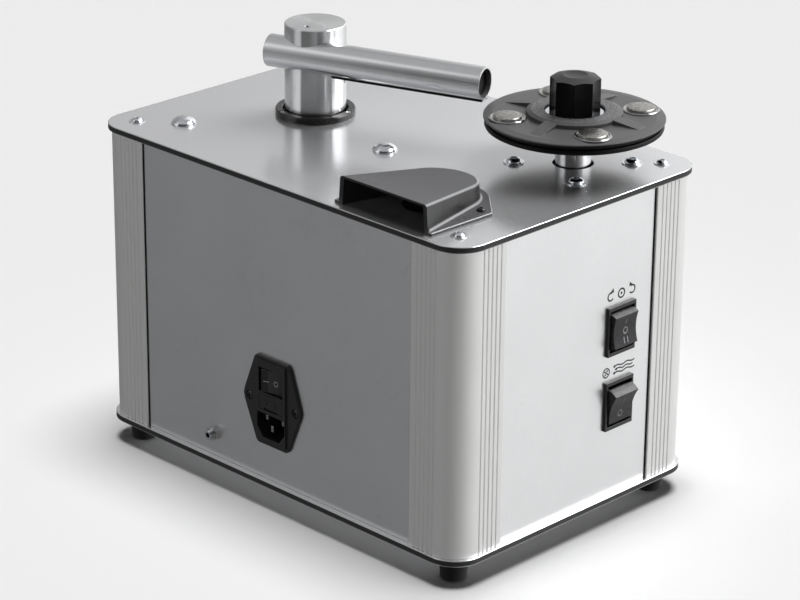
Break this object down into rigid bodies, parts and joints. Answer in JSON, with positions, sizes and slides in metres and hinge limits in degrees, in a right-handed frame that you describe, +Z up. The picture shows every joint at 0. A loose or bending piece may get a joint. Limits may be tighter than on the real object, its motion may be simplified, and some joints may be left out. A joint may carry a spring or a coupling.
{
  "type": "record cleaning machine",
  "caption": "Table-top vacuum record cleaning machine: metal box, driven hub with screw-down clamp, swinging suction tube on a column, exhaust hood, mains inlet, drain, rocker switches",
  "frame": {"origin": "middle of the overall footprint, on the floor under the feet", "axes": "+X towards the hub side seen from the switches, +Y from the switch panel towards the arm column, +Z up; the switch panel faces -Y and the mains inlet faces -X"},
  "size_m": [0.2136, 0.3172, 0.2722],
  "materials": {
    "composite_sheet": "brushed thin skins on a dark core, satin clear coat",
    "anodised_extrusion": "natural anodised, fine lengthwise drawing lines",
    "anodised_panel": "natural anodised, fine bead-blasted grain",
    "turned_aluminium": "bright turned finish",
    "tube_aluminium": "bright drawn tube",
    "zinc_steel": "bright zinc plating",
    "nickel": "satin nickel plating",
    "steel": "ground steel",
    "rubber": "black moulded rubber",
    "matte_black_plastic": "black moulded plastic, fine texture",
    "grey_plastic": "dark grey moulded plastic, satin",
    "gloss_black_plastic": "polished black plastic",
    "black_anodised": "black anodised, satin",
    "felt": "short black felt",
    "tank_plastic": "translucent white moulded plastic",
    "wire_insulation": "smooth insulation"
  },
  "bodies": {
    "case": {"top_plate": "composite_sheet", "bottom_plate": "composite_sheet", "corner_post_front_left": "anodised_extrusion", "corner_post_front_right": "anodised_extrusion", "corner_post_rear_left": "anodised_extrusion", "corner_post_rear_right": "anodised_extrusion", "left_panel": "anodised_panel", "right_panel": "anodised_panel", "front_panel": "anodised_panel", "rear_panel": "anodised_panel", "rubber_feet": "rubber", "corner_screws": "zinc_steel", "tank_bolts": "zinc_steel", "motor_screws": "zinc_steel", "exhaust_hood": "grey_plastic", "hood_screws": "black_anodised", "inlet_housing": "matte_black_plastic", "inlet_pins": "nickel", "inlet_screws": "black_anodised", "drain_spout": "zinc_steel", "drain_nut": "steel", "motor_switch_body": "matte_black_plastic", "vacuum_switch_body": "matte_black_plastic", "gearbox_case": "grey_plastic", "motor_can": "zinc_steel", "turret_flange": "black_anodised", "flange_screws": "zinc_steel", "turret_guide": "matte_black_plastic", "waste_tank": "tank_plastic", "tank_lid": "tank_plastic", "drain_hose": "rubber", "suction_boot": "rubber", "suction_hose": "rubber", "vacuum_motor_housing": "matte_black_plastic", "exhaust_duct": "matte_black_plastic", "motor_capacitor": "matte_black_plastic", "wiring": "wire_insulation"},
    "hub": {"spindle": "steel", "spindle_sleeve": "turned_aluminium", "hub_disc": "grey_plastic", "hub_seal": "rubber", "drive_gear": "tank_plastic"},
    "clamp": {"clamp_disc": "grey_plastic", "clamp_pads": "nickel", "knob_washer": "zinc_steel"},
    "knob": {"clamp_knob": "gloss_black_plastic"},
    "motor_rotor": {"motor_pinion": "steel"},
    "vacuum_rotor": {"impeller": "steel"},
    "arm_swivel": {"swivel_sleeve": "tank_plastic", "lift_spring": "steel"},
    "arm": {"turret_column": "turned_aluminium", "arm_tube": "tube_aluminium", "tube_plugs": "matte_black_plastic", "felt_strips": "felt", "arm_grub_screws": "steel", "riser_pipe": "tube_aluminium"},
    "motor_switch_rocker": {"motor_rocker": "matte_black_plastic"},
    "vacuum_switch_rocker": {"vacuum_rocker": "matte_black_plastic"},
    "mains_rocker": {"inlet_rocker": "matte_black_plastic"},
    "fuse_carrier": {"fuse_drawer": "matte_black_plastic"}
  },
  "joints": [
    {"name": "hub_spin", "type": "hinge", "parent": "case", "child": "hub", "pos_m": [0.05135, -0.09793, 0.22], "axis": [0, 0, 1], "continuous": true},
    {"name": "clamp_lift", "type": "slide", "parent": "hub", "child": "clamp", "axis": [0, 0, 1], "range_m": [0, 0.022]},
    {"name": "knob_turn", "type": "hinge", "parent": "clamp", "child": "knob", "pos_m": [0.05135, -0.09793, 0.25], "axis": [0, 0, 1], "range_deg": [0, 3961]},
    {"name": "motor_spin", "type": "hinge", "parent": "case", "child": "motor_rotor", "pos_m": [0.05135, -0.07393, 0.18], "axis": [0, 0, 1], "continuous": true},
    {"name": "vacuum_spin", "type": "hinge", "parent": "case", "child": "vacuum_rotor", "pos_m": [-0.05465, -0.08843, 0.1], "axis": [0, 0, 1], "continuous": true},
    {"name": "arm_swing", "type": "hinge", "parent": "case", "child": "arm_swivel", "pos_m": [0.00495, 0.07587, 0.2], "axis": [0, 0, 1], "range_deg": [-110, 15]},
    {"name": "arm_lift", "type": "slide", "parent": "arm_swivel", "child": "arm", "axis": [0, 0, 1], "range_m": [-0.0025, 0], "stiffness_N_per_m": 900, "springref_m": 0.006, "deforming": ["lift_spring"]},
    {"name": "motor_switch", "type": "hinge", "parent": "case", "child": "motor_switch_rocker", "pos_m": [0.03785, -0.14983, 0.1265], "axis": [1, 0, 0], "range_deg": [-15, 15]},
    {"name": "vacuum_switch", "type": "hinge", "parent": "case", "child": "vacuum_switch_rocker", "pos_m": [0.03785, -0.14983, 0.0783], "axis": [1, 0, 0], "range_deg": [-30, 0]},
    {"name": "mains_switch", "type": "hinge", "parent": "case", "child": "mains_rocker", "pos_m": [-0.09765, 0.00147, 0.0858], "axis": [0, 0, 1], "range_deg": [-18, 0]},
    {"name": "fuse_pull", "type": "slide", "parent": "case", "child": "fuse_carrier", "axis": [-1, 0, 0], "range_m": [0, 0.02]}
  ],
  "couplings": [
    {"joint": "knob_turn", "follows": "clamp_lift", "rad_per_m": 3141.6},
    {"joint": "motor_spin", "follows": "hub_spin", "ratio": -3}
  ]
}
